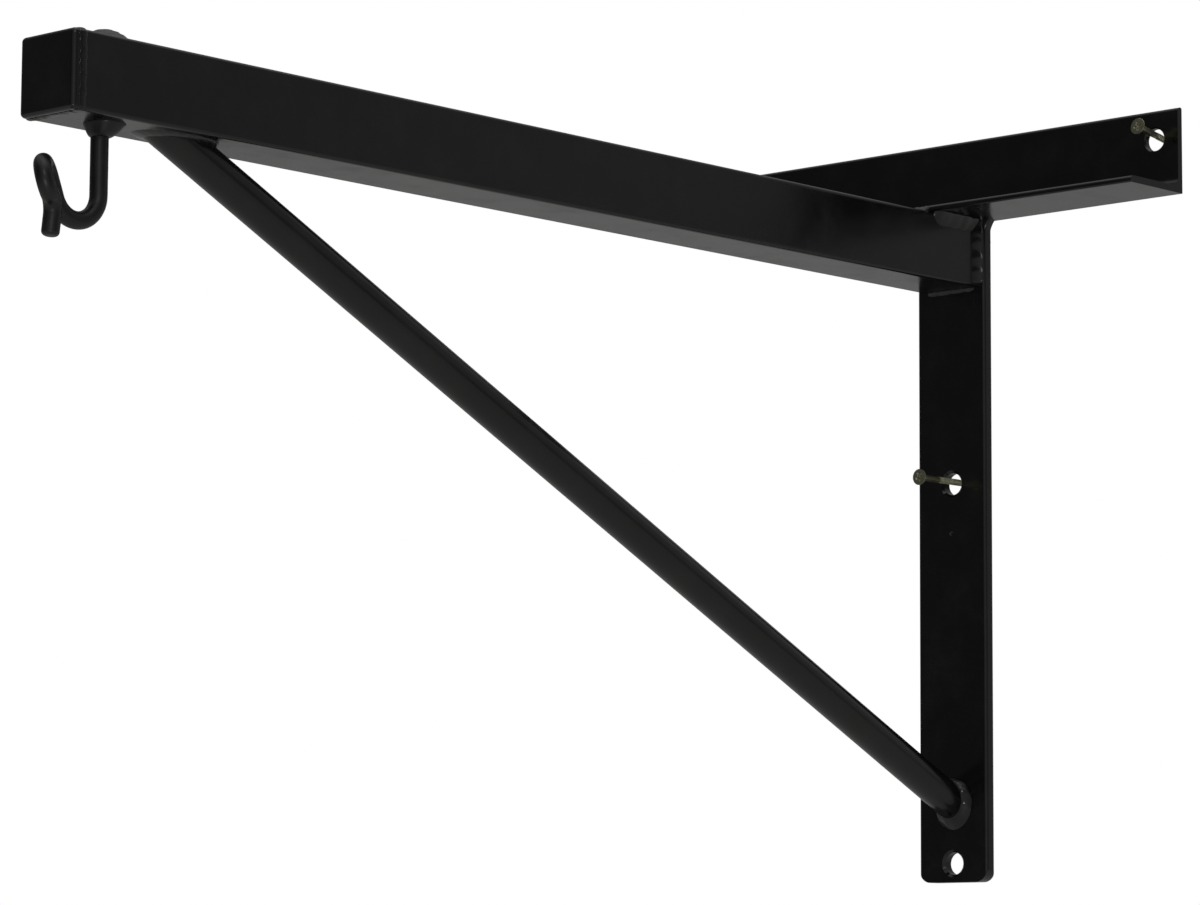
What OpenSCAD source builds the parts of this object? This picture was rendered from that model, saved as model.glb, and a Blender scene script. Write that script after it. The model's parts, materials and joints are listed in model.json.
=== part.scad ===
// Wall bracket for a hanging punch bag: a square arm and a round brace welded
// to a wall post and a wall angle, with a pigtail hook at the arm's tip.
// Millimetres. The wall plane is y = 0, the arm runs along -Y, +Z is up, and
// the arm's underside is z = 0. +X is to the right of a person facing the wall.

/* [Arm] */
// Outside width and height of the square arm tube
arm_w = 40; // [30:1:50]
// Wall thickness of the arm tube
arm_wall = 2.5; // [1.5:0.5:4]
// Outside corner radius of the arm tube
arm_corner_r = 2.5; // [2:0.25:3]
// Distance from the wall to the outside of the end plate
arm_reach = 709; // [696:1:740]
// Thickness of the end plate
end_plate_t = 6; // [4.5:0.5:8]
// Radius of the end plate's eased corners and front edges
end_plate_ease = 2.5; // [1:0.25:4]

/* [Wall post] */
// Width of the flat bar
post_w = 50; // [44:1:60]
// Thickness of the flat bar
post_t = 8; // [6:1:10]
// How far the bar reaches below the arm's underside
post_drop = 350; // [345:1:400]
// Radius along the bar's long edges
post_edge_r = 2; // [1:0.2:2.4]
// Radius of the bar's bottom corners
post_corner_r = 8; // [2:0.5:9]
// Depth of the lower fixing hole below the arm's underside
post_hole_low = 339; // [330:1:340]
// Depth of the middle fixing hole below the arm's underside
post_hole_mid = 115.5; // [90:0.5:140]

/* [Wall angle] */
// Length of the angle along the wall
angle_len = 325; // [300:1:400]
// Width of each leg of the angle
angle_leg = 50; // [46:1:60]
// Thickness of each leg
angle_t = 4; // [3:0.5:5]
// Fillet radius in the angle's root
angle_root_r = 6; // [4:0.5:8]
// Radius at the toe of each leg
angle_toe_r = 2.5; // [1:0.25:2.5]
// Distance of each fixing hole from the middle of the angle
angle_hole_x = 146; // [120:1:149]
// Height of the angle's fixing holes above the arm's underside
angle_hole_z = 73; // [66:1:78]

/* [Fixing holes] */
// Diameter of every fixing hole
hole_d = 13; // [12:0.5:13.5]
// Chamfer on both rims of the post's holes
post_hole_chamfer = 1.5; // [0.5:0.25:2]
// Chamfer on the front rim of the angle's holes
angle_hole_chamfer = 0.75; // [0.25:0.25:1]

/* [Brace] */
// Outside diameter of the brace tube
brace_d = 20; // [18:1:22]
// Wall thickness of the brace tube
brace_wall = 2; // [1.5:0.5:3]
// Distance of the brace's upper end from the wall, on its axis
brace_top_y = 625.6; // [600:0.1:640]
// Drop of the brace's lower end below the arm, on its axis
brace_foot_z = 304.1; // [290:0.1:312]

/* [Hook] */
// Diameter of the hook's rod
rod_d = 9; // [8:0.5:9]
// Distance of the hook's shank from the wall
hook_y = 674.4; // [672:0.1:676]
// How far the shank stands above the arm, inside its weld
hook_head = 3; // [2:0.5:4]
// Length of straight shank below the arm
hook_shank = 35.3; // [32:0.1:40]
// Centre-line radius of the seat that carries the load
seat_r = 14.2; // [13:0.1:15]
// Angle of the seat's bend
seat_bend = 159; // [150:1:162]
// Straight rise after the seat
seat_rise = 10; // [8:0.5:12]
// Centre-line radius of the curl
curl_r = 8.5; // [8:0.1:10]
// Angle of the curl
curl_bend = 235; // [225:1:240]
// Turn of the curl's plane about the rod
curl_turn = -139; // [-145:1:-130]
// Centre-line radius of the bend into the tail
tail_r = 9; // [8.5:0.1:10]
// Angle of the bend into the tail
tail_bend = 78; // [70:1:85]
// Turn of the tail bend's plane about the rod
tail_turn = -162; // [-170:1:-155]
// Straight length of the tail
tail_len = 9.8; // [6:0.1:12]

/* [Welds] */
// Leg of the fillet beads between the arm, the post and the angle
bead_leg = 4.5; // [3:0.5:5]
// Leg of the fillets between the post's edges and the angle
post_bead_leg = 4; // [4:0.5:7]
// Radius of the bead around each end of the brace
brace_bead_r = 14; // [12:0.5:16]
// Height of the beads around the brace and the end plate's seam
ring_bead_h = 4; // [3:0.5:5]
// Radius and height of the collar under the arm around the shank
collar_r = 12; // [9:0.5:13]
collar_h = 6.5; // [3:0.5:8]
// Radius and height of the weld cap over the shank's head
cap_r = 14; // [10:0.5:14]
cap_h = 7; // [6:0.5:9]
// Width and height of the bead over the end plate's seam
seam_w = 5; // [3:0.5:6]
seam_h = 1; // [0.5:0.25:1.5]

/* [Screws] */
// Diameter of the countersunk screw heads
head_d = 9.5; // [8:0.5:9.5]
// Diameter of the screw shanks
shank_d = 4; // [3.5:0.5:4]
// Length of the upper screws from head face to point
screw_len = 41; // [40:1:44]
// Length of the middle screw from head face to point
mid_screw_len = 46; // [42:1:48]
// Length of each screw's point
point_len = 4; // [4:1:10]
// Distance from the wall to the middle screw's head face
mid_proud = 37.5; // [30:0.5:38]
// Distance from the wall to the upper screws' head faces
top_proud = 22; // [20:0.5:24]
// Upward tilt of the upper screws
top_tilt = 9; // [6:1:9]

/* [Hidden] */
$fn = 64;
eps = 0.5;
arm_top_z = arm_w;
arm_len = arm_reach - end_plate_t - post_t;
seam_y = arm_reach - end_plate_t;
// Radius of the outer edge of each leg's toe: most of what the inner radius leaves
angle_edge_r = 0.75 * (angle_t - angle_toe_r);
brace_slope = brace_foot_z / (brace_top_y - post_t);
brace_pitch = atan(brace_slope);
brace_len = norm([brace_top_y - post_t, brace_foot_z]);
// The brace is drawn this much too long at each end and then cut
brace_spare = 40;
hook_top_z = arm_top_z + hook_head;
// How much wider than the rod the arm's holes are
rod_fit = 0.2;
// Length and depth of the taper at the rod's free end
rod_end_ease = 1.8;
// The rod is this thick where one stretch of its path meets the next
knuckle_d = rod_d + 0.1;
// How far the collar's lower end stands out from the rod
collar_neck = 1;
// How far the cap's centre lies from the shank's towards the wall
cap_shift = 2;
head_h = (head_d - shank_d) / 2;
// Length, width and depth of each arm of the cross recess
recess_l = 5;
recess_w = 1.2;
recess_h = 1.6;
// Where the middle screw passes its hole, right of and above the hole's centre
mid_x = -0.8;
mid_up = 1.5;
// Where the upper screws pass the angle's front face, outboard of and above the hole's centre
top_out = 1.2;
top_up = 3.6;
// Small dent in the post's face, dimple_z below the arm's underside
dimple_r = 1.8;
dimple_z = 145;
dimple_depth = 0.6;

// Shared shapes

// Rectangle centred on the origin with true round corners
module rounded_rect(w, h, r) {
    square([w - 2 * r, h], center = true);
    square([w, h - 2 * r], center = true);
    for (sx = [-1, 1], sy = [-1, 1])
        translate([sx * (w / 2 - r), sy * (h / 2 - r)])
            circle(r);
}

// Turns a shape drawn in XY and extruded up so that it lies in XZ and runs towards -Y
module along_arm(len) {
    rotate([90, 0, 0])
        linear_extrude(len)
            children();
}

// Round hole through a wall from y = -t to y = 0, with chamfers on its front and back rims
module fixing_hole(t, front, back) {
    r = hole_d / 2;
    rotate([90, 0, 0]) {
        translate([0, 0, -eps])
            cylinder(r = r, h = t + 2 * eps);
        translate([0, 0, t - front])
            cylinder(r1 = r, r2 = r + front + eps, h = front + eps);
        if (back > 0)
            translate([0, 0, -eps])
                cylinder(r1 = r + back + eps, r2 = r, h = back + eps);
    }
}

// Quarter-round bead of the given leg in the corner +X, +Y, running up +Z
module fillet_bead(leg, len) {
    linear_extrude(len)
        intersection() {
            circle(leg);
            square(leg + eps);
        }
}

// Places the brace's own frame: z runs from the upper end to the foot
module on_brace() {
    translate([0, -brace_top_y, 0])
        rotate([-90 - brace_pitch, 0, 0])
            children();
}

// Solid rod on the brace's axis, long enough to be cut at both ends
module brace_rod(d) {
    on_brace()
        translate([0, 0, -brace_spare])
            cylinder(d = d, h = brace_len + 2 * brace_spare);
}

// Space under the arm and in front of the post
module brace_space(depth_z, depth_y) {
    translate([-arm_w, -depth_y - post_t, -depth_z])
        cube([2 * arm_w, depth_y, depth_z]);
}

// Rod path: a straight run along +Z, whose children start at its far end
module rod_run(len) {
    cylinder(d = rod_d, h = len);
    translate([0, 0, len]) {
        sphere(d = knuckle_d);
        children();
    }
}

// Rod path: a bend towards +X after a turn about the rod, whose children start at its far end
module rod_bend(radius, angle, turn) {
    rotate([0, 0, turn])
        translate([radius, 0, 0]) {
            rotate([90, 0, 180])
                rotate_extrude(angle = angle)
                    translate([radius, 0])
                        circle(d = rod_d);
            rotate([0, angle, 0])
                translate([-radius, 0, 0]) {
                    sphere(d = knuckle_d);
                    children();
                }
        }
}

// Rod path: the last straight run, with its cut end eased
module rod_tail(len) {
    cylinder(d = rod_d, h = len - rod_end_ease);
    translate([0, 0, len - rod_end_ease])
        cylinder(d1 = rod_d, d2 = rod_d - 2 * rod_end_ease, h = rod_end_ease);
}

// Countersunk screw along +Z: the head's face is at z = 0 and the point at z = -length
module screw(length) {
    difference() {
        union() {
            translate([0, 0, -head_h])
                cylinder(d1 = shank_d, d2 = head_d, h = head_h);
            translate([0, 0, point_len - length])
                cylinder(d = shank_d, h = length - point_len - head_h);
            translate([0, 0, -length])
                cylinder(r1 = 0, r2 = shank_d / 2, h = point_len);
        }
        for (turn = [0, 90])
            rotate([0, 0, turn])
                translate([-recess_l / 2, -recess_w / 2, -recess_h])
                    cube([recess_l, recess_w, recess_h + eps]);
    }
}

// Tilted screw in one of the angle's holes, side = 1 on the right and -1 on the left
module top_screw(side) {
    rise = (top_proud - angle_t) * tan(top_tilt);
    translate([side * (angle_hole_x + top_out), -top_proud, angle_hole_z + top_up + rise])
        rotate([90 - top_tilt, 0, 0])
            screw(screw_len);
}

// Frame

module wall_post() {
    color("black")
    difference() {
        intersection() {
            translate([0, -post_t / 2, -post_drop])
                linear_extrude(post_drop + arm_top_z)
                    rounded_rect(post_w, post_t, post_edge_r);
            translate([0, 0, (arm_top_z - post_drop) / 2]) {
                along_arm(post_t)
                    rounded_rect(post_w, post_drop + arm_top_z, post_corner_r);
                translate([-post_w / 2, -post_t, 0])
                    cube([post_w, post_t, (post_drop + arm_top_z) / 2]);
            }
        }
        for (z = [-post_hole_low, -post_hole_mid])
            translate([0, 0, z])
                fixing_hole(post_t, post_hole_chamfer, post_hole_chamfer);
        translate([0, -post_t - dimple_r + dimple_depth, -dimple_z])
            sphere(dimple_r);
    }
}

// Profile of the angle: legs along +X and +Y from the outer corner
module angle_profile() {
    difference() {
        union() {
            square([angle_leg, angle_t]);
            square([angle_t, angle_leg]);
            translate([angle_t, angle_t])
                square(angle_root_r);
        }
        translate([angle_t + angle_root_r, angle_t + angle_root_r])
            circle(angle_root_r);
        for (flip = [0, 1])
            mirror([flip, -flip])
                translate([angle_leg - angle_toe_r, angle_t - angle_toe_r])
                    difference() {
                        square(angle_toe_r + eps);
                        circle(angle_toe_r);
                    }
        for (flip = [0, 1])
            mirror([flip, -flip])
                translate([angle_leg - angle_edge_r, angle_edge_r])
                    difference() {
                        translate([0, -angle_edge_r - eps])
                            square(angle_edge_r + eps);
                        circle(angle_edge_r);
                    }
    }
}

module wall_angle() {
    color("black")
    difference() {
        translate([0, 0, arm_top_z])
            rotate([90, 0, -90])
                linear_extrude(angle_len, center = true)
                    angle_profile();
        for (side = [-1, 1])
            translate([side * angle_hole_x, 0, angle_hole_z])
                fixing_hole(angle_t, angle_hole_chamfer, 0);
    }
}

module arm_tube() {
    bore_w = arm_w - 2 * arm_wall;
    color("black")
    difference() {
        translate([0, -post_t, arm_w / 2])
            along_arm(arm_len)
                difference() {
                    rounded_rect(arm_w, arm_w, arm_corner_r);
                    rounded_rect(bore_w, bore_w, arm_corner_r / 2);
                }
        translate([0, -hook_y, -eps])
            cylinder(d = rod_d + rod_fit, h = arm_w + 2 * eps);
    }
}

module end_plate() {
    core_w = arm_w - 2 * end_plate_ease;
    color("black")
    translate([0, -seam_y, arm_w / 2]) {
        along_arm(end_plate_t - end_plate_ease)
            rounded_rect(arm_w, arm_w, end_plate_ease);
        along_arm(end_plate_t)
            square(core_w, center = true);
        translate([0, end_plate_ease - end_plate_t, 0])
            for (s = [-1, 1]) {
                translate([s * core_w / 2, 0, -core_w / 2])
                    cylinder(r = end_plate_ease, h = core_w);
                translate([-core_w / 2, 0, s * core_w / 2])
                    rotate([0, 90, 0])
                        cylinder(r = end_plate_ease, h = core_w);
                for (t = [-1, 1])
                    translate([s * core_w / 2, 0, t * core_w / 2])
                        sphere(end_plate_ease);
            }
    }
}

module brace_tube() {
    color("black")
    difference() {
        intersection() {
            brace_rod(brace_d);
            brace_space(post_drop, arm_len);
        }
        brace_rod(brace_d - 2 * brace_wall);
    }
}

module hook() {
    color("black")
    translate([0, -hook_y, hook_top_z])
        rotate([180, 0, -90])
            rod_run(hook_shank + hook_top_z)
            rod_bend(seat_r, seat_bend, 0)
            rod_run(seat_rise)
            rod_bend(curl_r, curl_bend, curl_turn)
            rod_bend(tail_r, tail_bend, tail_turn)
            rod_tail(tail_len);
}

// Welds

module end_plate_weld() {
    color("dimgray")
    translate([0, seam_w / 2 - seam_y, arm_w / 2])
        along_arm(seam_w)
            difference() {
                rounded_rect(arm_w + 2 * seam_h, arm_w + 2 * seam_h, arm_corner_r + seam_h);
                rounded_rect(arm_w, arm_w, min(arm_corner_r, end_plate_ease));
            }
}

module hook_weld_upper() {
    ball_r = (cap_r * cap_r + cap_h * cap_h) / (2 * cap_h);
    color("dimgray")
    difference() {
        translate([0, cap_shift - hook_y, arm_top_z + cap_h - ball_r])
            sphere(ball_r);
        translate([-arm_w, -hook_y - arm_w, arm_top_z - 2 * ball_r])
            cube([2 * arm_w, 2 * arm_w, 2 * ball_r]);
        translate([0, -hook_y, arm_top_z - eps])
            cylinder(d = rod_d, h = hook_head + eps);
    }
}

module hook_weld_lower() {
    color("dimgray")
    translate([0, -hook_y, -collar_h])
        difference() {
            cylinder(r1 = rod_d / 2 + collar_neck, r2 = collar_r, h = collar_h);
            translate([0, 0, -eps])
                cylinder(d = rod_d, h = collar_h + 2 * eps);
        }
}

module brace_weld_upper() {
    color("dimgray")
    difference() {
        intersection() {
            brace_rod(2 * brace_bead_r);
            brace_space(ring_bead_h, arm_len);
        }
        brace_rod(brace_d);
    }
}

module brace_weld_lower() {
    color("dimgray")
    difference() {
        intersection() {
            brace_rod(2 * brace_bead_r);
            brace_space(post_drop, ring_bead_h);
        }
        brace_rod(brace_d);
    }
}

// Upright bead between the arm's side and the post's face
module arm_side_weld() {
    translate([arm_w / 2, -post_t, arm_corner_r])
        mirror([0, 1, 0])
            fillet_bead(bead_leg, arm_w - arm_corner_r - bead_leg);
}

module arm_weld_right() {
    color("dimgray") arm_side_weld();
}

module arm_weld_left() {
    color("dimgray") mirror([1, 0, 0]) arm_side_weld();
}

module arm_weld_bottom() {
    width = arm_w - 2 * arm_corner_r;
    color("dimgray")
    translate([-width / 2, -post_t, 0])
        rotate([0, 90, 0])
            mirror([0, 1, 0])
                fillet_bead(bead_leg, width);
}

module flange_weld_front() {
    width = arm_w - 2 * arm_corner_r;
    color("dimgray")
    translate([width / 2, -angle_leg, arm_top_z])
        rotate([0, -90, 0])
            mirror([0, 1, 0])
                fillet_bead(angle_t, width);
}

// Bead along the arm's upper edge, under the angle's lower leg
module flange_side_weld() {
    translate([arm_w / 2, -angle_leg, arm_top_z])
        rotate([-90, 0, 0])
            fillet_bead(bead_leg, angle_leg - post_t - bead_leg);
}

module flange_weld_right() {
    color("dimgray") flange_side_weld();
}

module flange_weld_left() {
    color("dimgray") mirror([1, 0, 0]) flange_side_weld();
}

// Fillet between the post's edge and the underside of the angle
module post_side_weld() {
    translate([post_w / 2, -post_t + post_edge_r, arm_top_z])
        rotate([-90, 0, 0])
            fillet_bead(post_bead_leg, post_t - 2 * post_edge_r);
}

module post_weld_right() {
    color("dimgray") post_side_weld();
}

module post_weld_left() {
    color("dimgray") mirror([1, 0, 0]) post_side_weld();
}

// Screws

module screw_left() {
    color("goldenrod") top_screw(-1);
}

module screw_right() {
    color("goldenrod") top_screw(1);
}

module screw_middle() {
    color("goldenrod")
    translate([mid_x, -mid_proud, mid_up - post_hole_mid])
        rotate([90, 0, 0])
            screw(mid_screw_len);
}

wall_post();
wall_angle();
arm_tube();
end_plate();
brace_tube();
hook();
end_plate_weld();
hook_weld_upper();
hook_weld_lower();
brace_weld_upper();
brace_weld_lower();
arm_weld_right();
arm_weld_left();
arm_weld_bottom();
flange_weld_front();
flange_weld_right();
flange_weld_left();
post_weld_right();
post_weld_left();
screw_left();
screw_right();
screw_middle();
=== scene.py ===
"""Looks of the punch bag wall bracket: gloss black enamel over welded steel, rippled weld beads,
a bent rod hook and three yellow zinc screws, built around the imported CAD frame.

Metres, in the CAD's own frame: the wall plane is y = 0, the arm runs along -Y, +Z is up.
"""

import json
import math
import random

import bmesh
import bpy
from mathutils import Matrix, Vector, noise


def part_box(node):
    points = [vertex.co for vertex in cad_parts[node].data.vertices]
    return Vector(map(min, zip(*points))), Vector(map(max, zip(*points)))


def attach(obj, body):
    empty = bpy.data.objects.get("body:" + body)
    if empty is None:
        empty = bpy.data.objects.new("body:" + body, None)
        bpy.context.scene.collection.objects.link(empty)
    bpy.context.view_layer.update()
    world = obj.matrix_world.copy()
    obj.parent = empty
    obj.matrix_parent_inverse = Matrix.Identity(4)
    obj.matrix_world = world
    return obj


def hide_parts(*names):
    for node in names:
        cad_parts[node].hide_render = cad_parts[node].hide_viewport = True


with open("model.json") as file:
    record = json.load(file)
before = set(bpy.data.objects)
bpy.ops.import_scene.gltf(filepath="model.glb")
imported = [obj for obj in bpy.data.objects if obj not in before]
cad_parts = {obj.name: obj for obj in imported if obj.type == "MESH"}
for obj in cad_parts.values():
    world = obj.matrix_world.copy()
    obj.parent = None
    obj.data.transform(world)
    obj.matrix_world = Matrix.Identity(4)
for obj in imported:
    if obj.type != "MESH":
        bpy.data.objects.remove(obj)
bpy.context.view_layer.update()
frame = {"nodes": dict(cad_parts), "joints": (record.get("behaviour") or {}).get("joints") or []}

MM = 0.001
BRACKET = "bracket"
scene = bpy.context.scene
scene.view_settings.view_transform = "Standard"


# ---------------------------------------------------------------- places from the frame

def corner_box(node):
    lo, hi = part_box(node)
    return Vector(lo), Vector(hi)


arm_lo, arm_hi = corner_box("arm_tube")
post_lo, post_hi = corner_box("wall_post")
angle_lo, _ = corner_box("wall_angle")
brace_lo, brace_hi = corner_box("brace_tube")

ARM_HALF = arm_hi.x
ARM_TOP = arm_hi.z
POST_FACE = post_lo.y
POST_HALF = post_hi.x
FLANGE_FRONT = angle_lo.y
SEAM_Y = arm_lo.y
BRACE_R = brace_hi.x


def brace_pitch(first_guess=26, rounds=30):
    """Angle of the brace below the horizontal, from its box and its radius. Each round betters the last."""
    pitch = math.radians(first_guess)
    for _ in range(rounds):
        rise = -brace_lo.z - BRACE_R / math.cos(pitch)
        run = POST_FACE - brace_lo.y - BRACE_R / math.sin(pitch)
        pitch = math.atan2(rise, run)
    return pitch


BRACE_PITCH = brace_pitch()
BRACE_TOP = Vector((0, brace_lo.y + BRACE_R / math.sin(BRACE_PITCH), 0))
BRACE_FOOT = Vector((0, POST_FACE, brace_lo.z + BRACE_R / math.cos(BRACE_PITCH)))
BRACE_DIR = (BRACE_FOOT - BRACE_TOP).normalized()

collar_lo, collar_hi = corner_box("hook_weld_lower")
SHANK_Y = (collar_lo.y + collar_hi.y) / 2


# ---------------------------------------------------------------- camera, world, lights, floor

LENS = 135.75
SENSOR = 36
CAMERA_AZIMUTH, CAMERA_PITCH, CAMERA_ROLL = 42.70, 7.20, 0.32
CAMERA_PLACE = (1.6476, -2.0997, -0.4333)
# The softboxes face this point
MIDDLE = Vector((0, -0.3, -0.1))
SMALL_BOX, LARGE_BOX = 0.35, 1.6
SOFTBOX_WATTS = 5
FLOOR_SIZE = 12
FLOOR_Z = -1.5
FLOOR_PAINT = (0.82, 0.82, 0.80, 1)
FLOOR_ROUGHNESS = 0.8
# Directions in the room that the paint reflects
BEHIND_BRACKET = (-0.3, 0.95, 0)
WINDOW_SIDE = (0.73, -0.67, 0.12)
CEILING = (0, 0, 1)


def look_matrix(azimuth, pitch, roll, location):
    """Camera matrix that looks along azimuth (0 is +Y, positive turns towards -X) and up by pitch."""
    yaw, rise = math.radians(azimuth), math.radians(pitch)
    ahead = Vector((-math.sin(yaw) * math.cos(rise), math.cos(yaw) * math.cos(rise), math.sin(rise)))
    right = Vector((math.cos(yaw), math.sin(yaw), 0))
    up = right.cross(ahead)
    turn = Matrix.Rotation(math.radians(roll), 3, ahead)
    right, up = turn.inverted() @ right, turn.inverted() @ up
    matrix = Matrix((right, up, -ahead)).transposed().to_4x4()
    matrix.translation = location
    return matrix


def make_camera():
    data = bpy.data.cameras.new("camera")
    data.sensor_width = SENSOR
    data.lens = LENS
    data.clip_start, data.clip_end = 0.05, 100
    camera = bpy.data.objects.new("camera", data)
    scene.collection.objects.link(camera)
    camera.matrix_world = look_matrix(CAMERA_AZIMUTH, CAMERA_PITCH, CAMERA_ROLL, CAMERA_PLACE)
    scene.camera = camera


def make_world():
    """A plain white backdrop, and a soft room to reflect: pale behind the object, dim in front of it,
    with one broad soft window on the camera's side and a soft ceiling light that fills the floor."""
    world = bpy.data.worlds.new("studio")
    scene.world = world
    world.use_nodes = True
    nodes, links = world.node_tree.nodes, world.node_tree.links
    nodes.clear()
    coord = nodes.new("ShaderNodeTexCoord")

    def glow(direction, stops):
        """Grey level by place. stops pairs a place with its level: place 0 is opposite to direction, 1 is
        straight along it."""
        dot = nodes.new("ShaderNodeVectorMath")
        dot.operation = "DOT_PRODUCT"
        dot.inputs[1].default_value = Vector(direction).normalized()
        links.new(coord.outputs["Generated"], dot.inputs[0])
        half = nodes.new("ShaderNodeMath")
        half.operation = "MULTIPLY_ADD"
        half.inputs[1].default_value = 0.5
        half.inputs[2].default_value = 0.5
        links.new(dot.outputs["Value"], half.inputs[0])
        ramp = nodes.new("ShaderNodeValToRGB")
        ramp.color_ramp.interpolation = "EASE"
        while len(ramp.color_ramp.elements) < len(stops):
            ramp.color_ramp.elements.new(0.5)
        for element, (at, level) in zip(ramp.color_ramp.elements, stops):
            element.position = at
            element.color = (level, level, level, 1)
        links.new(half.outputs[0], ramp.inputs[0])
        return ramp.outputs[0]

    def combine(kind, first, second):
        """Both colours added or multiplied."""
        mix = nodes.new("ShaderNodeMix")
        mix.data_type = "RGBA"
        mix.blend_type = kind
        mix.inputs["Factor"].default_value = 1.0
        links.new(first, mix.inputs["A"])
        links.new(second, mix.inputs["B"])
        return mix.outputs["Result"]

    depth = glow(BEHIND_BRACKET, [(0.0, 0.07), (0.4, 0.09), (0.75, 0.24), (0.94, 0.34), (1.0, 0.35)])
    height = glow(CEILING, [(0.0, 0.2), (0.34, 0.2), (0.43, 0.8), (0.5, 1.0), (0.7, 0.9), (1.0, 0.5)])
    window = glow(WINDOW_SIDE, [(0.0, 0.0), (0.72, 0.0), (0.92, 0.2), (1.0, 0.3)])
    ceiling = glow(CEILING, [(0.0, 0.0), (0.8, 0.0), (0.9, 0.42), (1.0, 0.48)])
    windows = combine("ADD", window, ceiling)
    room = nodes.new("ShaderNodeBackground")
    links.new(combine("ADD", combine("MULTIPLY", depth, height), windows), room.inputs["Color"])
    backdrop = nodes.new("ShaderNodeBackground")
    backdrop.inputs["Color"].default_value = (1, 1, 1, 1)
    path = nodes.new("ShaderNodeLightPath")
    choose = nodes.new("ShaderNodeMixShader")
    links.new(path.outputs["Is Camera Ray"], choose.inputs[0])
    links.new(room.outputs[0], choose.inputs[1])
    links.new(backdrop.outputs[0], choose.inputs[2])
    out = nodes.new("ShaderNodeOutputWorld")
    links.new(choose.outputs[0], out.inputs["Surface"])


def softbox(name, location, size, power):
    """Square area light that faces the middle of the bracket."""
    data = bpy.data.lights.new(name, "AREA")
    data.shape = "SQUARE"
    data.size = size
    data.energy = power
    light = bpy.data.objects.new(name, data)
    light.location = location
    light.rotation_euler = (MIDDLE - Vector(location)).to_track_quat("-Z", "Y").to_euler()
    scene.collection.objects.link(light)


def make_lights():
    softbox("softbox_low", (1.7, -2.2, -0.9), SMALL_BOX, SOFTBOX_WATTS)
    softbox("softbox_high", (2.1, -2.3, 1.2), SMALL_BOX, SOFTBOX_WATTS)
    softbox("softbox_above", (0.4, -0.6, 2.2), LARGE_BOX, SOFTBOX_WATTS)


def make_floor():
    bpy.ops.mesh.primitive_plane_add(size=FLOOR_SIZE, location=(0, 0, FLOOR_Z))
    floor = bpy.context.object
    floor.name = "floor"
    mat = bpy.data.materials.new("floor_pale")
    mat.use_nodes = True
    shader = mat.node_tree.nodes["Principled BSDF"]
    shader.inputs["Base Color"].default_value = FLOOR_PAINT
    shader.inputs["Roughness"].default_value = FLOOR_ROUGHNESS
    floor.data.materials.append(mat)


# ---------------------------------------------------------------- materials

PAINT_DARK, PAINT_LIGHT = (0.0022, 0.0022, 0.0024), (0.0032, 0.0031, 0.0032)
DUST = (0.055, 0.052, 0.048)
SCUFF_DULLING = 0.16
FILM_RIPPLE = 0.12 * MM
ZINC_GOLD, ZINC_OLIVE = (0.48, 0.45, 0.32), (0.42, 0.45, 0.30)
ZINC_GRIME = (0.13, 0.12, 0.08)
ZINC_GRAIN = 0.02 * MM


class Nodes:
    """Small helper that builds one material's node tree."""

    def __init__(self, name):
        self.mat = bpy.data.materials.new(name)
        self.mat.use_nodes = True
        self.tree = self.mat.node_tree
        self.shader = self.tree.nodes["Principled BSDF"]
        self.coord = self.tree.nodes.new("ShaderNodeTexCoord")

    def link(self, source, socket):
        self.tree.links.new(source, socket)

    def noise(self, scale, detail=3.0, roughness=0.5, stretch=(1, 1, 1)):
        mapping = self.tree.nodes.new("ShaderNodeMapping")
        mapping.inputs["Scale"].default_value = stretch
        self.link(self.coord.outputs["Object"], mapping.inputs[0])
        texture = self.tree.nodes.new("ShaderNodeTexNoise")
        texture.inputs["Scale"].default_value = scale
        texture.inputs["Detail"].default_value = detail
        texture.inputs["Roughness"].default_value = roughness
        self.link(mapping.outputs[0], texture.inputs["Vector"])
        return texture.outputs["Fac"]

    def remap(self, source, from_min, from_max, to_min, to_max):
        node = self.tree.nodes.new("ShaderNodeMapRange")
        for key, value in zip(("From Min", "From Max", "To Min", "To Max"),
                              (from_min, from_max, to_min, to_max)):
            node.inputs[key].default_value = value
        self.link(source, node.inputs["Value"])
        return node.outputs["Result"]

    def blend(self, factor, first, second):
        """Colour between first and second, each a plain colour or a socket."""
        node = self.tree.nodes.new("ShaderNodeMix")
        node.data_type = "RGBA"
        self.link(factor, node.inputs["Factor"])
        for key, value in (("A", first), ("B", second)):
            if isinstance(value, tuple):
                node.inputs[key].default_value = (*value, 1)
            else:
                self.link(value, node.inputs[key])
        return node.outputs["Result"]

    def math(self, operation, first, second):
        node = self.tree.nodes.new("ShaderNodeMath")
        node.operation = operation
        for i, value in enumerate((first, second)):
            if isinstance(value, float):
                node.inputs[i].default_value = value
            else:
                self.link(value, node.inputs[i])
        return node.outputs[0]

    def bump(self, height, distance, strength=1.0, after=None):
        node = self.tree.nodes.new("ShaderNodeBump")
        node.inputs["Strength"].default_value = strength
        node.inputs["Distance"].default_value = distance
        self.link(height, node.inputs["Height"])
        if after:
            self.link(after, node.inputs["Normal"])
        return node.outputs["Normal"]


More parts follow.
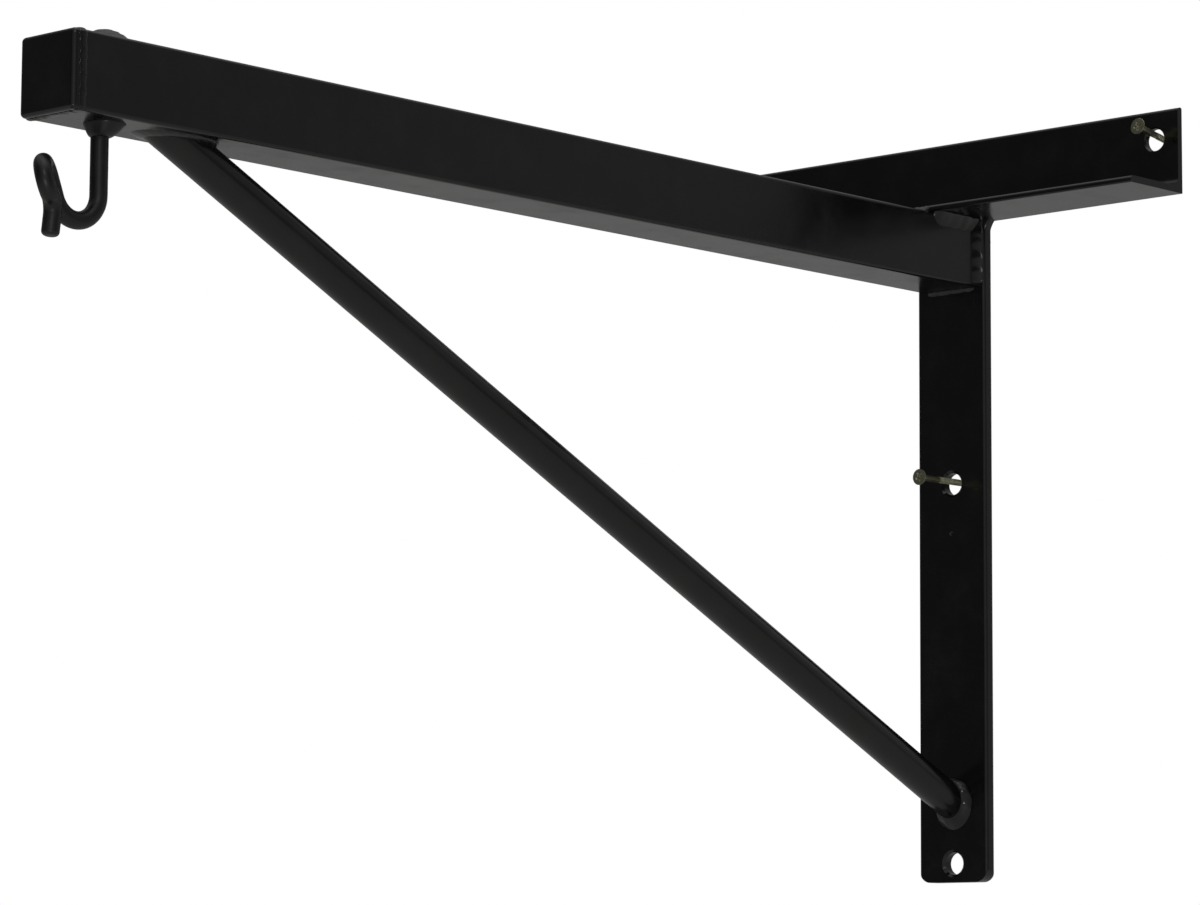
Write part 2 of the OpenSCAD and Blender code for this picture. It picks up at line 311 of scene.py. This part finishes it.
def black_enamel(name, peel, roughness, dust):
    """Sprayed gloss black enamel: orange peel of depth peel, slow ripples in the film, scuffs that dull it,
    and dust of strength dust."""
    nodes = Nodes(name)
    shader = nodes.shader
    film = nodes.remap(nodes.noise(scale=9, detail=2), 0.3, 0.7, 0, 1)
    specks = nodes.remap(nodes.noise(scale=2600, detail=2, roughness=0.6), 0.66, 0.74, 0.0, 1.0)
    haze = nodes.remap(nodes.noise(scale=38, detail=5, roughness=0.65), 0.45, 0.8, 0.0, 1.0)
    dirty = nodes.math("MULTIPLY", nodes.math("MAXIMUM", specks, haze), dust)
    paint = nodes.blend(film, PAINT_DARK, PAINT_LIGHT)
    nodes.link(nodes.blend(dirty, paint, DUST), shader.inputs["Base Color"])
    scuffs = nodes.noise(scale=60, detail=6, roughness=0.7, stretch=(1, 0.12, 1))
    rough = nodes.remap(nodes.math("ADD", scuffs, haze), 0.5, 1.6, roughness, roughness + SCUFF_DULLING)
    nodes.link(rough, shader.inputs["Roughness"])
    slow = nodes.bump(nodes.noise(scale=55, detail=2), FILM_RIPPLE, strength=0.5)
    skin = nodes.bump(nodes.noise(scale=620, detail=3, roughness=0.5), peel, strength=0.6, after=slow)
    nodes.link(skin, shader.inputs["Normal"])
    shader.inputs["IOR"].default_value = 1.5
    shader.inputs["Specular IOR Level"].default_value = 0.5
    return nodes.mat


def yellow_zinc(name):
    """Yellow passivated zinc: olive gold with a slow drift of hue, darker where dirt and oil collect."""
    nodes = Nodes(name)
    shader = nodes.shader
    drift = nodes.remap(nodes.noise(scale=420, detail=3, roughness=0.6), 0.35, 0.65, 0, 1)
    gold = nodes.blend(drift, ZINC_GOLD, ZINC_OLIVE)
    grime = nodes.remap(nodes.noise(scale=900, detail=5, roughness=0.7), 0.42, 0.72, 0, 1)
    nodes.link(nodes.blend(grime, gold, ZINC_GRIME), shader.inputs["Base Color"])
    nodes.link(nodes.remap(grime, 0, 1, 0.34, 0.55), shader.inputs["Roughness"])
    grain = nodes.bump(nodes.noise(scale=3500, detail=2), ZINC_GRAIN, strength=0.5)
    nodes.link(grain, shader.inputs["Normal"])
    shader.inputs["Metallic"].default_value = 1.0
    return nodes.mat


ENAMEL = black_enamel("black_enamel", peel=0.016 * MM, roughness=0.17, dust=0.10)
WELD_ENAMEL = black_enamel("black_enamel_on_weld", peel=0.03 * MM, roughness=0.15, dust=0.16)
ROD_ENAMEL = black_enamel("black_enamel_on_rod", peel=0.03 * MM, roughness=0.36, dust=0.14)
ZINC = yellow_zinc("yellow_zinc")


# ---------------------------------------------------------------- mesh helpers

DROPLET_FLATTENING = 0.6


def add_piece(name, bm, material, body, nodes):
    """Makes one smooth piece that rides on body and stands in for the given CAD nodes."""
    mesh = bpy.data.meshes.new(name)
    bmesh.ops.recalc_face_normals(bm, faces=bm.faces)
    bm.to_mesh(mesh)
    bm.free()
    for face in mesh.polygons:
        face.use_smooth = True
    mesh.materials.append(material)
    piece = bpy.data.objects.new(name, mesh)
    scene.collection.objects.link(piece)
    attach(piece, body)
    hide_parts(*nodes)


def skin_rings(bm, rings, closed):
    """Joins rings of points into a tube. closed joins the last ring to the first, or else both ends are
    capped."""
    verts = [[bm.verts.new(point) for point in ring] for ring in rings]
    count = len(verts[0])
    last = len(verts) if closed else len(verts) - 1
    for i in range(last):
        ring, after = verts[i], verts[(i + 1) % len(verts)]
        for j in range(count):
            k = (j + 1) % count
            bm.faces.new((ring[j], ring[k], after[k], after[j]))
    if not closed:
        bm.faces.new(list(reversed(verts[0])))
        bm.faces.new(verts[-1])


def droplet(bm, at, radius, normal):
    """A blob of weld spatter, half sunk in the surface with that normal and flattened along it."""
    made = bmesh.ops.create_icosphere(bm, subdivisions=2, radius=radius)
    squash = Matrix.Scale(DROPLET_FLATTENING, 4, normal)
    bmesh.ops.transform(bm, matrix=Matrix.Translation(at) @ squash, verts=made["verts"])


# ---------------------------------------------------------------- weld beads

# Length between a bead's rings, and the steps across its skin
STEP = 0.4 * MM
ARC = 12
# Spans into which a path is cut to measure its length
PATH_SAMPLES = 200
# Exponents of a bead's skin: 1 is a round quarter, 2 is a flat face between the toes, and more is hollow
CROWNED = 1.45
HOLLOW = 2.5
# Length over which a bead's thickness wanders, and how strongly the noise counts
WANDER_SPAN = 8 * MM
WANDER_GAIN = 1.6
# How far a ripple's ends trail its middle, and how far ripples stray, both in ripples
RIPPLE_TRAIL = 0.32
RIPPLE_STRAY = 0.25
# Size that is left of a bead at its very end
END_SIZE = 0.03
# How far a bead's toes, and its root, are sunk in the metal that it joins
TOE_SINK = 0.15 * MM
ROOT_SINK = 0.5 * MM
# Spatter: where along the path, how far from the corner in legs of the bead, and the radius of a drop
SPATTER_PLACE = (0.05, 0.95)
SPATTER_REACH = (1.4, 2.6)
SPATTER_MM = (0.25, 0.6)


def weld_bead(name, node, path, closed=False, leg_a=4.5 * MM, leg_b=4.5 * MM, pitch=2.3 * MM, ripple=0.07,
              wander=0.12, seed=1, end_cap=3 * MM, spatter=0, skin=CROWNED):
    """Fillet bead. path(u) for u in 0..1 gives (corner, a, b): the corner's place and the unit directions in
    which the two joined surfaces leave it. The skin runs between the toes on those surfaces, with the soft
    crescent ripples that each pool of metal leaves."""
    rng = random.Random(seed)
    samples = [path(i / PATH_SAMPLES)[0] for i in range(PATH_SAMPLES + 1)]
    length = sum((after - before).length for before, after in zip(samples, samples[1:]))
    count = max(12, round(length / STEP))
    turns = round(length / pitch) if closed else length / pitch
    phase = rng.random()
    rings = []
    for i in range(count if closed else count + 1):
        u = i / count
        corner, a, b = path(u)
        along = u * length
        loop = u * 2 * math.pi
        where = Vector((along / WANDER_SPAN, seed, 0))
        if closed:
            where = Vector((math.cos(loop), math.sin(loop), seed)) * length / (2 * math.pi * WANDER_SPAN)
        grow = 1 + wander * noise.noise(where) * WANDER_GAIN
        end = 1.0
        if not closed:
            near = min(along, length - along) / end_cap
            end = math.sqrt(max(0.0, 1 - (1 - min(near, 1)) ** 2)) * (1 - END_SIZE) + END_SIZE
        ring = []
        for j in range(ARC + 1):
            angle = math.pi / 2 * j / ARC
            bow = (angle - math.pi / 4) / (math.pi / 4)
            wave = u * turns + phase + RIPPLE_TRAIL * bow * bow + RIPPLE_STRAY * noise.noise(where * 0.7)
            crown = max(0.0, 1 - bow * bow)
            scallop = 1 - ripple * (0.5 + 0.5 * math.cos(2 * math.pi * wave)) * crown
            size = grow * end * scallop
            reach_a = leg_a * size * max(0.0, math.cos(angle)) ** skin
            reach_b = leg_b * size * math.sin(angle) ** skin
            ring.append(corner + a * (reach_a - TOE_SINK) + b * (reach_b - TOE_SINK))
        ring.append(corner - (a + b).normalized() * ROOT_SINK)
        rings.append(ring)
    bm = bmesh.new()
    skin_rings(bm, rings, closed)
    for _ in range(spatter):
        corner, a, b = path(rng.uniform(*SPATTER_PLACE))
        side, other = (a, b) if rng.random() < 0.5 else (b, a)
        normal = (other - side * other.dot(side)).normalized()
        at = corner + side * rng.uniform(*SPATTER_REACH) * leg_a
        droplet(bm, at, rng.uniform(*SPATTER_MM) * MM, normal)
    add_piece(name, bm, WELD_ENAMEL, BRACKET, [node])


def straight(start, end, a, b):
    """Path along a straight corner."""
    start, end, a, b = Vector(start), Vector(end), Vector(a), Vector(b)
    return lambda u: (start.lerp(end, u), a, b)


def ring_on_plane(centre, along, out, radius):
    """Path where a tube of that radius, leaving centre in direction along, meets the plane with normal
    out."""
    side = along.cross(out).normalized()
    lean = (along - out * along.dot(out)).normalized()
    stretch = 1 / abs(along.dot(out))

    def path(u):
        angle = u * 2 * math.pi
        point = centre + side * radius * math.cos(angle) + lean * radius * stretch * math.sin(angle)
        away = side * math.cos(angle) * stretch + lean * math.sin(angle)
        return point, away.normalized(), along

    return path


def make_welds():
    down, up = Vector((0, 0, -1)), Vector((0, 0, 1))
    front = Vector((0, -1, 0))
    for side, word, seed in ((1, "right", 11), (-1, "left", 12)):
        out = Vector((side, 0, 0))
        arm_side = side * ARM_HALF
        post_side = side * POST_HALF
        upright = straight((arm_side, POST_FACE, 1.5 * MM),
                           (arm_side, POST_FACE, ARM_TOP + 3.5 * MM), out, front)
        weld_bead(f"weld_arm_{word}", f"arm_weld_{word}", upright,
                  leg_a=4.9 * MM, leg_b=6.5 * MM, pitch=8 * MM, ripple=0.055, wander=0.06, seed=seed,
                  spatter=2, skin=HOLLOW)
        under_flange = straight((arm_side, FLANGE_FRONT + 1 * MM, ARM_TOP),
                                (arm_side, POST_FACE + 6 * MM, ARM_TOP), out, down)
        weld_bead(f"weld_flange_{word}", f"flange_weld_{word}", under_flange,
                  leg_a=4.9 * MM, leg_b=9.0 * MM, pitch=9 * MM, ripple=0.05, wander=0.06, seed=seed + 2,
                  end_cap=9 * MM, skin=HOLLOW)
        post_edge = straight((post_side, POST_FACE + 0.6 * MM, ARM_TOP),
                             (post_side, -0.4 * MM, ARM_TOP), out, down)
        weld_bead(f"weld_post_{word}", f"post_weld_{word}", post_edge,
                  leg_a=4.0 * MM, leg_b=7.0 * MM, pitch=5 * MM, ripple=0.03, seed=seed + 4, end_cap=1.5 * MM,
                  skin=HOLLOW)
    half = ARM_HALF - 2 * MM
    under_arm = straight((-half, POST_FACE, 0), (half, POST_FACE, 0), front, down)
    weld_bead("weld_arm_bottom", "arm_weld_bottom", under_arm,
              leg_a=2.6 * MM, leg_b=2.6 * MM, pitch=5 * MM, ripple=0.08, wander=0.3, seed=21, end_cap=5 * MM,
              spatter=2, skin=HOLLOW)
    over_arm = straight((-half, FLANGE_FRONT, ARM_TOP), (half, FLANGE_FRONT, ARM_TOP), front, up)
    weld_bead("weld_flange_front", "flange_weld_front", over_arm,
              leg_a=4.5 * MM, leg_b=3.8 * MM, pitch=4 * MM, ripple=0.08, wander=0.22, seed=22)
    brace_head = ring_on_plane(BRACE_TOP, BRACE_DIR, down, BRACE_R)
    weld_bead("weld_brace_upper", "brace_weld_upper", brace_head, closed=True,
              leg_a=4.0 * MM, leg_b=4.4 * MM, pitch=5 * MM, ripple=0.05, seed=23)
    brace_foot = ring_on_plane(BRACE_FOOT, -BRACE_DIR, front, BRACE_R)
    weld_bead("weld_brace_lower", "brace_weld_lower", brace_foot, closed=True,
              leg_a=4.4 * MM, leg_b=5.6 * MM, pitch=6 * MM, ripple=0.07, seed=24, spatter=4)


# ---------------------------------------------------------------- weld lumps on the hook's shank

LUMP_ROWS, LUMP_COLUMNS = 24, 64
# Part of a lump's radius by which its rim wanders
RIM_WANDER = 0.10
# Distance between the turns of the spiral on a lump, and how far the lump's rim is sunk
SWIRL_PITCH = 3 * MM
RIM_SINK = 0.4 * MM
COLLAR_R = 10.6 * MM
COLLAR_HEIGHT = 6.8 * MM
COLLAR_LEAN = Vector((0.8, 2.4, 0)) * MM


def lump(name, node, material, centre, out, radius, height, flare=1.0, neck=0.0, swirl_depth=0.0,
         lean=Vector()):
    """Round heap of weld metal on the plane through centre with normal out. It falls from its full height
    at neck, a part of its radius, to its rim: flare over 1 hollows the slope and flare under 1 swells it.
    swirl_depth is the depth of the spiral that the welder's last turns leave, and lean is how far the rim's
    centre lies from centre."""
    side = out.orthogonal().normalized()
    other = out.cross(side)
    bm = bmesh.new()
    top = bm.verts.new(centre + out * height)
    verts = []
    for i in range(1, LUMP_ROWS + 1):
        part = i / LUMP_ROWS
        fall = max(0.0, (part - neck) / (1 - neck))
        row = []
        for j in range(LUMP_COLUMNS):
            angle = 2 * math.pi * j / LUMP_COLUMNS
            ray = side * math.cos(angle) + other * math.sin(angle)
            reach = radius * (1 + RIM_WANDER * noise.noise(ray * 1.4 + Vector((0, 0, 7))))
            spiral = math.sin(part * radius / SWIRL_PITCH * 2 * math.pi + angle)
            swirl = swirl_depth * spiral * math.sin(math.pi * part)
            rise = height * max(0.0, math.cos(fall * math.pi / 2)) ** flare + swirl
            row.append(bm.verts.new(centre + lean * fall + ray * reach * part + out * rise))
        verts.append(row)
    base = [bm.verts.new(vert.co - out * RIM_SINK) for vert in verts[-1]]
    verts.append(base)
    for j in range(LUMP_COLUMNS):
        bm.faces.new((top, verts[0][j], verts[0][(j + 1) % LUMP_COLUMNS]))
    for inner, outer in zip(verts, verts[1:]):
        for j in range(LUMP_COLUMNS):
            k = (j + 1) % LUMP_COLUMNS
            bm.faces.new((inner[j], outer[j], outer[k], inner[k]))
    bm.faces.new(base)
    add_piece(name, bm, material, BRACKET, [node])


def make_shank_welds():
    """Cap over the shank's head on top of the arm, and the collar round the shank under it."""
    lo, hi = corner_box("hook_weld_upper")
    cap = Vector(((lo.x + hi.x) / 2, (lo.y + hi.y) / 2, lo.z))
    lump("weld_hook_upper", "hook_weld_upper", WELD_ENAMEL, cap, Vector((0, 0, 1)),
         (hi.x - lo.x) / 2, hi.z - lo.z, flare=0.8, swirl_depth=0.2 * MM)
    shank = Vector((0, SHANK_Y, 0))
    lump("weld_hook_lower", "hook_weld_lower", ROD_ENAMEL, shank, Vector((0, 0, -1)),
         COLLAR_R, COLLAR_HEIGHT, neck=0.4, swirl_depth=0.06 * MM, lean=COLLAR_LEAN)


# ---------------------------------------------------------------- seam of the end plate

SEAM_CORNER_R = 2.5 * MM
# Half the seam bead's width, its height over the tube, and how far its middle strays from the seam
SEAM_HALF_WIDTH = 2.4 * MM
SEAM_HEIGHT = 0.55 * MM
SEAM_STRAY = 0.7 * MM
# Parts by which the noise changes the width and the height, and the noise's scale per metre
SEAM_WIDTH_WANDER = 0.35
SEAM_HEIGHT_WANDER = 0.7
SEAM_GRAIN = 420
# How far the bead's edges and its root are sunk
SEAM_SINK = 0.05 * MM
SEAM_ROOT_SINK = 0.6 * MM
# Its ripples, and the steps across it
SEAM_PITCH = 2.1 * MM
SEAM_RIPPLE = 0.12
SEAM_ARC = 8


def make_seam_weld():
    """Low ground-down bead over the seam between the end plate and the tube, round its four sides."""
    half, radius = ARM_HALF, SEAM_CORNER_R
    mid = ARM_TOP / 2
    straight_run = 2 * (half - radius)
    side_length = straight_run + radius * math.pi / 2
    count = round(4 * side_length / STEP)
    rings = []
    for i in range(count):
        lap = i / count * 4
        turn = int(lap) % 4 * math.pi / 2
        gone = (lap % 1) * side_length
        if gone < straight_run:
            x, z, lean = half, -straight_run / 2 + gone, 0.0
        else:
            lean = (gone - straight_run) / radius
            x = half - radius + radius * math.cos(lean)
            z = straight_run / 2 + radius * math.sin(lean)
        out = Vector((math.cos(turn + lean), 0, math.sin(turn + lean)))
        across = x * math.cos(turn) - z * math.sin(turn)
        upward = x * math.sin(turn) + z * math.cos(turn)
        at = Vector((across, SEAM_Y, mid + upward))
        where = at * SEAM_GRAIN
        width = SEAM_HALF_WIDTH * (1 + SEAM_WIDTH_WANDER * noise.noise(where))
        height = SEAM_HEIGHT * (1 + SEAM_HEIGHT_WANDER * noise.noise(where * 1.7))
        stray = SEAM_STRAY * noise.noise(where * 0.6)
        ring = []
        for j in range(SEAM_ARC + 1):
            angle = math.pi * j / SEAM_ARC
            wave = i * STEP / SEAM_PITCH * 2 * math.pi + 1.2 * math.sin(angle)
            rise = height * math.sin(angle) ** 0.8 * (1 + SEAM_RIPPLE * math.sin(wave)) - SEAM_SINK
            ring.append(at + Vector((0, stray - width * math.cos(angle), 0)) + out * rise)
        ring.append(at + Vector((0, stray, 0)) - out * SEAM_ROOT_SINK)
        rings.append(ring)
    bm = bmesh.new()
    skin_rings(bm, rings, True)
    add_piece("weld_end_plate", bm, WELD_ENAMEL, BRACKET, ["end_plate_weld"])


# ---------------------------------------------------------------- hook

ROD_R = 4.5 * MM
ROD_SIDES = 40
# Rounding at the rod's cut end, and its steps
TIP_ROUNDING = 2.2 * MM
TIP_STEPS = 6
# The rod's surface is uneven by this part of its radius
ROD_UNEVENNESS = 0.006
# Length, and angle in degrees, between the rod's rings, near enough to fit a whole number of them
RUN_STEP = 1.5 * MM
BEND_STEP = 4
# Lengths of the rod's straight runs: above the arm, under it, up the bend's far side, and at the tail
HEAD_RUN = 2.5 * MM
DROP_RUN = 35.3 * MM
RISE_RUN = 10 * MM
TAIL_RUN = 9.8 * MM
# Each bend is a radius to the rod's middle, an angle in degrees, and a turn of the bend's plane about the rod
SEAT_BEND = (14.2 * MM, 159, 0)
CURL_BEND = (8.5 * MM, 235, -139)
TAIL_BEND = (9 * MM, 78, -162)


def hook_path():
    """Centre line of the bent rod, from its head above the arm to the end of the pigtail."""
    at = Vector((0, SHANK_Y, ARM_TOP + HEAD_RUN))
    ahead, inner = Vector((0, 0, -1)), Vector((0, -1, 0))
    points = [at.copy()]

    def run(length):
        nonlocal at
        steps = max(2, round(length / RUN_STEP))
        for i in range(steps):
            points.append(at + ahead * length * (i + 1) / steps)
        at = points[-1].copy()

    def bend(radius, angle, turn):
        nonlocal at, ahead, inner
        turn, angle = math.radians(turn), math.radians(angle)
        inner = inner * math.cos(turn) + ahead.cross(inner) * math.sin(turn)
        centre = at + inner * radius
        steps = round(math.degrees(angle) / BEND_STEP)
        for i in range(steps):
            part = angle * (i + 1) / steps
            points.append(centre - inner * radius * math.cos(part) + ahead * radius * math.sin(part))
        at = points[-1].copy()
        ahead, inner = (ahead * math.cos(angle) + inner * math.sin(angle),
                        inner * math.cos(angle) - ahead * math.sin(angle))

    run(ARM_TOP + HEAD_RUN + DROP_RUN)
    bend(*SEAT_BEND)
    run(RISE_RUN)
    bend(*CURL_BEND)
    bend(*TAIL_BEND)
    run(TAIL_RUN)
    return points


def rod_rings(points):
    """Rings of the round rod along points, with no twist, and a rounded edge at its far end."""
    tip = points[-1]
    ahead = (points[-1] - points[-2]).normalized()
    shoulder = tip - ahead * TIP_ROUNDING
    stations = [(point, ROD_R) for point in points if (tip - point).length > TIP_ROUNDING + 0.3 * MM]
    for k in range(TIP_STEPS + 1):
        angle = k / TIP_STEPS * math.pi / 2
        place = shoulder + ahead * TIP_ROUNDING * math.sin(angle)
        stations.append((place, ROD_R - TIP_ROUNDING * (1 - math.cos(angle))))
    rings = []
    across = Vector((1, 0, 0))
    for i, (place, radius) in enumerate(stations):
        before = stations[max(0, i - 1)][0]
        after = stations[min(len(stations) - 1, i + 1)][0]
        ahead = (after - before).normalized()
        across = (across - ahead * across.dot(ahead)).normalized()
        upward = ahead.cross(across)
        wave = 1 + ROD_UNEVENNESS * noise.noise(place * 260)
        angles = [2 * math.pi * j / ROD_SIDES for j in range(ROD_SIDES)]
        rings.append([place + (across * math.cos(angle) + upward * math.sin(angle)) * radius * wave
                      for angle in angles])
    return rings


def make_hook():
    bm = bmesh.new()
    skin_rings(bm, rod_rings(hook_path()), False)
    add_piece("hook_rod", bm, ROD_ENAMEL, BRACKET, ["hook"])


# ---------------------------------------------------------------- screws

SCREW_SIDES = 72
# The head's radius, the depth of its straight rim and of its cone, and the hollow of its face
SCREW_HEAD_R = 4.75 * MM
HEAD_RIM = 0.35 * MM
HEAD_CONE = 2.75 * MM
HEAD_DISH = 0.12 * MM
# Rings on the face, and the part of the head's radius that they cover
FACE_RINGS = 30
FACE_PART = 0.985
# The cross recess: reach and half width of its arms, radius of its hub, depth, and the width of its edges
RECESS_REACH = 2.6 * MM
RECESS_HALF_WIDTH = 0.62 * MM
RECESS_HUB_R = 1.05 * MM
RECESS_DEPTH = 1.7 * MM
RECESS_EDGE = 0.18 * MM
HUB_EDGE = 0.2 * MM
# The shank's radius, the thread's core and crest radius, its pitch, and its crest's part of the pitch
SHANK_R = 1.85 * MM
CORE_R = 1.45 * MM
CREST_R = 2.0 * MM
THREAD_PITCH = 1.8 * MM
CREST_PART = 0.2
# Depth at which the thread starts, the length over which it grows, and the length of the point
THREAD_FROM = 17 * MM
THREAD_GROWTH = 2 * MM
POINT_LENGTH = 4 * MM
# Part of the radius that is left at the tip
POINT_BLUNTNESS = 0.04
THREAD_STEP = 0.15 * MM


def clamp(value, low=0.0):
    """value, held between low and 1."""
    return max(low, min(1.0, value))


def round_ring(radius, z):
    """Ring of the screw where radius and z are plain values."""
    angles = [2 * math.pi * j / SCREW_SIDES for j in range(SCREW_SIDES)]
    return [Vector((radius * math.cos(angle), radius * math.sin(angle), z)) for angle in angles]


def face_ring(radius):
    """Ring of the head's face, with the cross recess pressed into it."""
    ring = []
    for x, y, _ in round_ring(radius, 0):
        reach, across = max(abs(x), abs(y)), min(abs(x), abs(y))
        half_width = RECESS_HALF_WIDTH * (1 - 0.25 * reach / RECESS_REACH)
        arm = clamp((half_width - across) / RECESS_EDGE + 0.5) if reach < RECESS_REACH else 0.0
        hub = clamp((RECESS_HUB_R - radius) / HUB_EDGE + 0.5)
        depth = max(arm, hub) * RECESS_DEPTH * (1 - 0.35 * reach / RECESS_REACH)
        ring.append(Vector((x, y, -depth - HEAD_DISH * (radius / SCREW_HEAD_R) ** 2)))
    return ring


def thread_ring(z, length):
    """Ring of the shank at z: plain at first, then threaded, and drawn in to the point."""
    grow = clamp((-z - THREAD_FROM) / THREAD_GROWTH)
    taper = clamp((length + z) / POINT_LENGTH, low=POINT_BLUNTNESS)
    base = SHANK_R + (CORE_R - SHANK_R) * grow
    ring = []
    for j in range(SCREW_SIDES):
        angle = 2 * math.pi * j / SCREW_SIDES
        phase = (z / THREAD_PITCH - angle / (2 * math.pi)) % 1
        ridge = max(0.0, 1 - abs(phase - 0.5) / CREST_PART)
        radius = (base + (CREST_R - base) * grow * ridge) * taper
        ring.append(Vector((radius * math.cos(angle), radius * math.sin(angle), z)))
    return ring


def screw_mesh(length):
    """Countersunk cross-recess wood screw. The head's face is at z = 0 and its point at z = -length."""
    rings = [face_ring(SCREW_HEAD_R * FACE_PART * k / FACE_RINGS) for k in range(1, FACE_RINGS + 1)]
    rings.append(round_ring(SCREW_HEAD_R, -0.2 * MM))
    rings.append(round_ring(SCREW_HEAD_R, -HEAD_RIM))
    rings.append(round_ring((SCREW_HEAD_R + SHANK_R) / 2, -(HEAD_RIM + HEAD_CONE) / 2))
    rings.append(round_ring(SHANK_R + 0.25 * MM, -HEAD_CONE))
    z = -HEAD_CONE - 0.5 * MM
    rings.append(round_ring(SHANK_R, z))
    while z > -length + 0.2 * MM:
        z -= THREAD_STEP
        rings.append(thread_ring(z, length))
    bm = bmesh.new()
    skin_rings(bm, rings, False)
    return bm


def make_screws():
    """One threaded screw for each slide joint, as long as its CAD node says."""
    for joint in frame["joints"]:
        node = joint["child"].replace("_body", "")
        lo, hi = corner_box(node)
        axis = Vector(joint["axis"]).normalized()
        level = abs(axis.z) < 0.01
        # A tilted head reaches past the screw's axis by this much towards the front
        overhang = 0.0 if level else SCREW_HEAD_R * axis.z
        length = (hi.y - lo.y - overhang) / abs(axis.y)
        tip = Vector(((lo.x + hi.x) / 2, hi.y, (lo.z + hi.z) / 2 if level else lo.z))
        bm = screw_mesh(length)
        place = Matrix.Translation(tip + axis * length) @ axis.to_track_quat("Z", "Y").to_matrix().to_4x4()
        # No two screws stopped at the same turn
        turn = 0.5 + lo.x * 9
        bm.transform(place @ Matrix.Rotation(turn, 4, "Z"))
        add_piece(f"{node}_detailed", bm, ZINC, joint["child"], [node])


# ---------------------------------------------------------------- scene

make_camera()
make_world()
make_lights()
make_floor()
for carried in ("wall_post", "wall_angle", "arm_tube", "end_plate", "brace_tube"):
    obj = frame["nodes"][carried]
    obj.data.materials.clear()
    obj.data.materials.append(ENAMEL)
make_welds()
make_seam_weld()
make_shank_welds()
make_hook()
make_screws()
